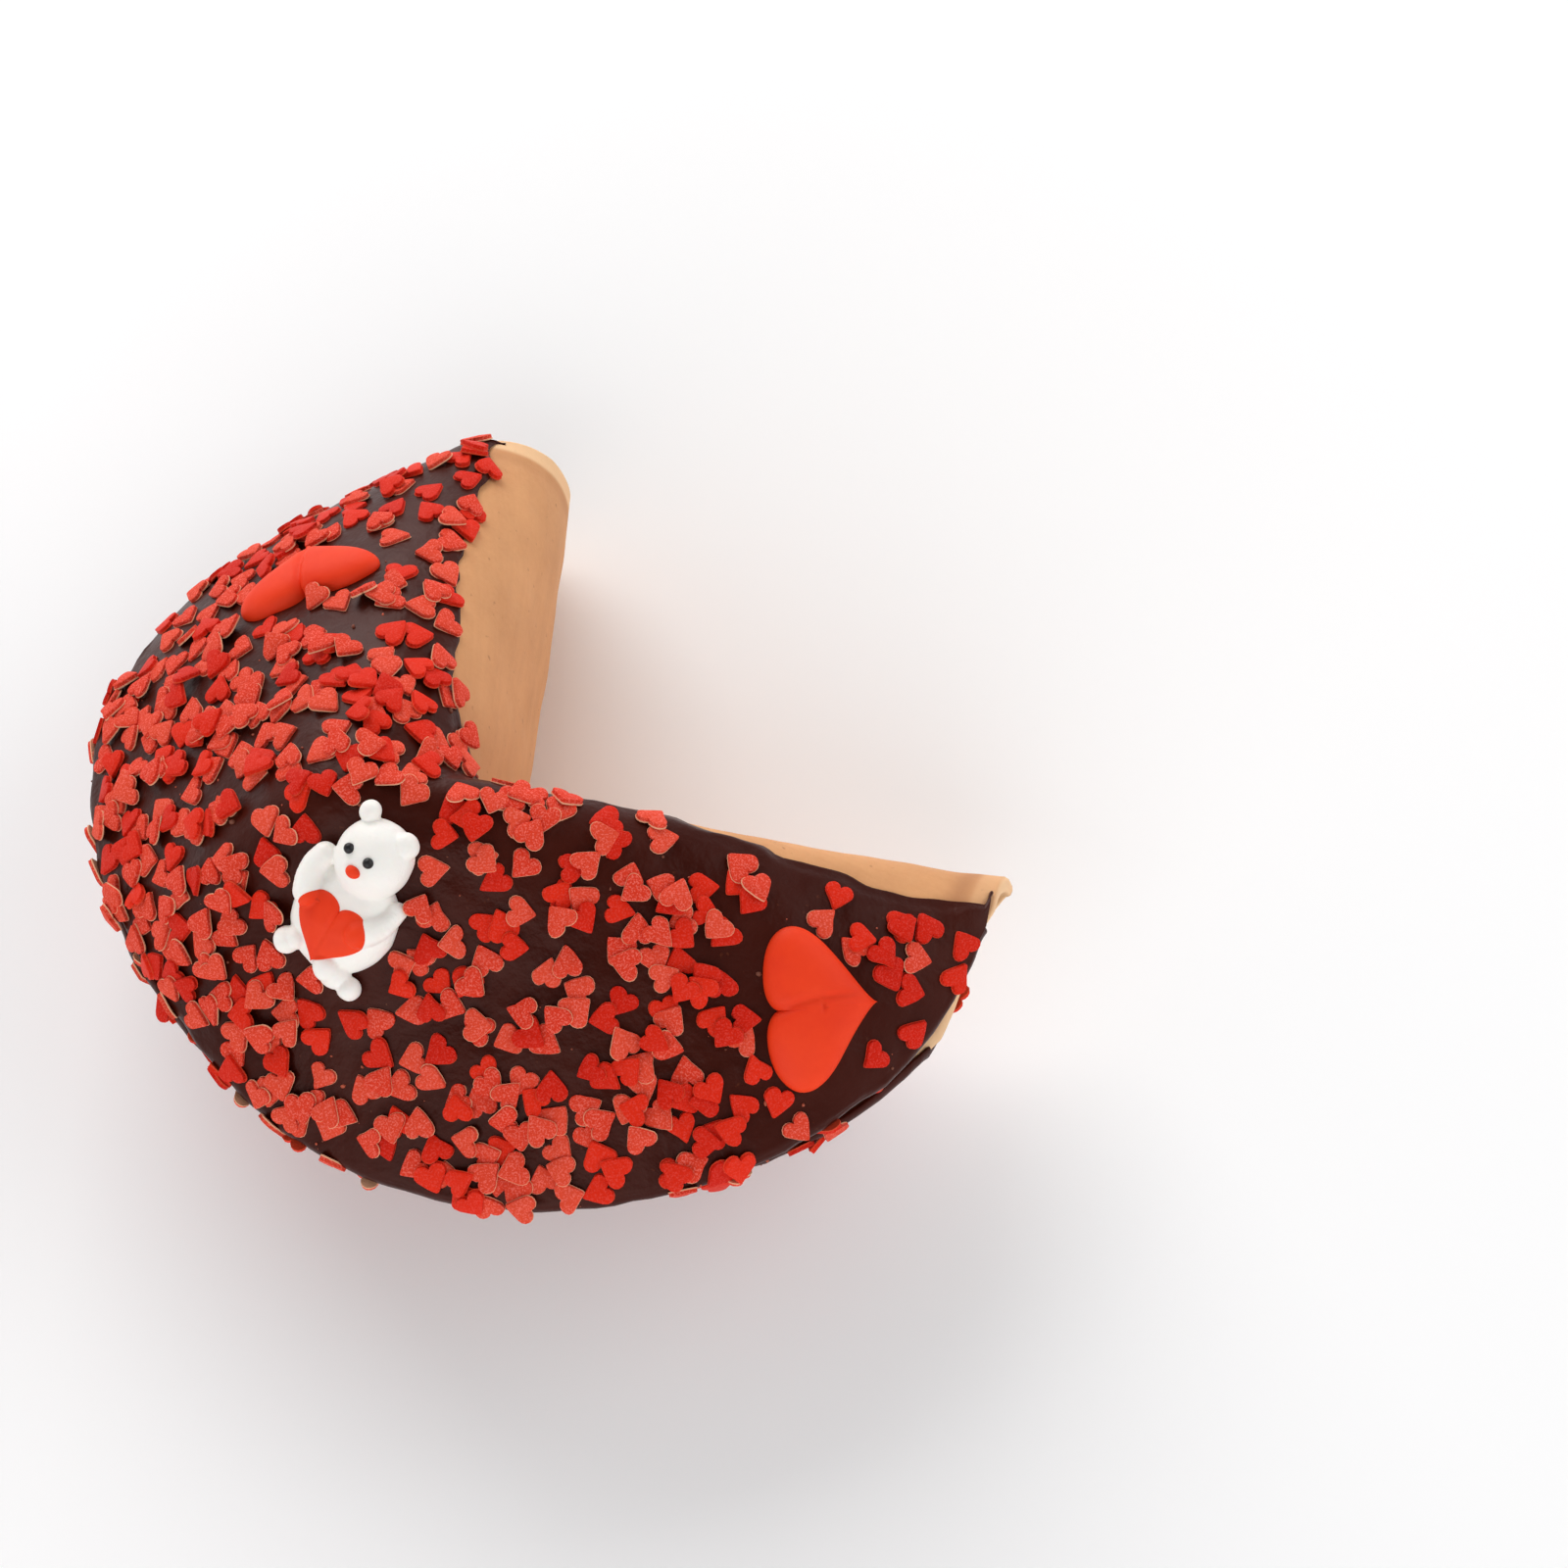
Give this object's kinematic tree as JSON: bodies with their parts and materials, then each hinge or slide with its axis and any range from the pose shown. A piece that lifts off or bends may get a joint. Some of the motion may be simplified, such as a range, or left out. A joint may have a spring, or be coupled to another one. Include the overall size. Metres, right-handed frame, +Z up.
{
  "type": "fortune cookie",
  "caption": "Large folded fortune cookie, half dipped in dark chocolate, with icing hearts and a small icing bear holding a heart.",
  "frame": {"origin": "middle of the bottom of the cookie's bounding box, on the surface it lies on", "axes": "+X along the longer side, towards the right arm's tip; +Y towards the upper arm's tip, so that the V between the arms opens to +X +Y; +Z up, out of the face with the bear"},
  "size_m": [0.1654, 0.1516, 0.0856],
  "materials": {
    "wafer": "matt, crisp baked wafer",
    "chocolate": "semi-gloss dark chocolate",
    "heart_icing": "matt orange-red sugar icing",
    "white_icing": "satin white sugar icing",
    "black_icing": "satin black icing dot"
  },
  "bodies": {
    "root": {"wafer": "wafer", "coat_upper": "chocolate", "coat_lower": "chocolate", "icing_heart_right": "heart_icing", "icing_heart_upper": "heart_icing", "bear": "white_icing", "bear_heart": "heart_icing", "bear_nose": "heart_icing", "bear_eye_left": "black_icing", "bear_eye_right": "black_icing"}
  },
  "joints": []
}
